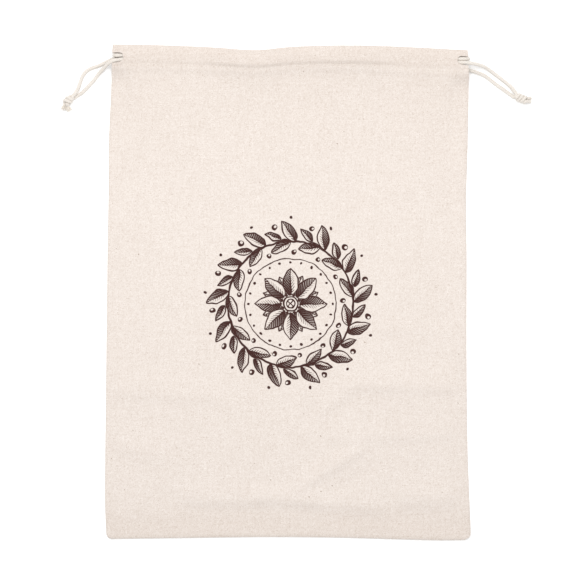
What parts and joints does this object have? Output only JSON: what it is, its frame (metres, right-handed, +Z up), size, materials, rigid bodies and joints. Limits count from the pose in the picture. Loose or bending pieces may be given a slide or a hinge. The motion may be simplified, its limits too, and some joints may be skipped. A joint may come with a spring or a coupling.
{
  "type": "drawstring bread bag",
  "caption": "Linen drawstring bread bag with a printed front, lying flat and empty, its knotted cotton drawcords loose at the sides",
  "frame": {"origin": "middle of the bag's outline on the surface it lies on", "axes": "+Z up from the surface, through the front cloth; +Y along the bag, from its sewn bottom to its mouth; +X to the right as the front is seen"},
  "size_m": [0.3677, 0.3861, 0.0153],
  "materials": {
    "linen": "matte",
    "cord": "matte"
  },
  "bodies": {
    "root": {"front_panel": "linen", "back_panel": "linen", "drawcord_left": "cord", "drawcord_right": "cord", "knot_left": "cord", "knot_right": "cord"}
  },
  "joints": []
}
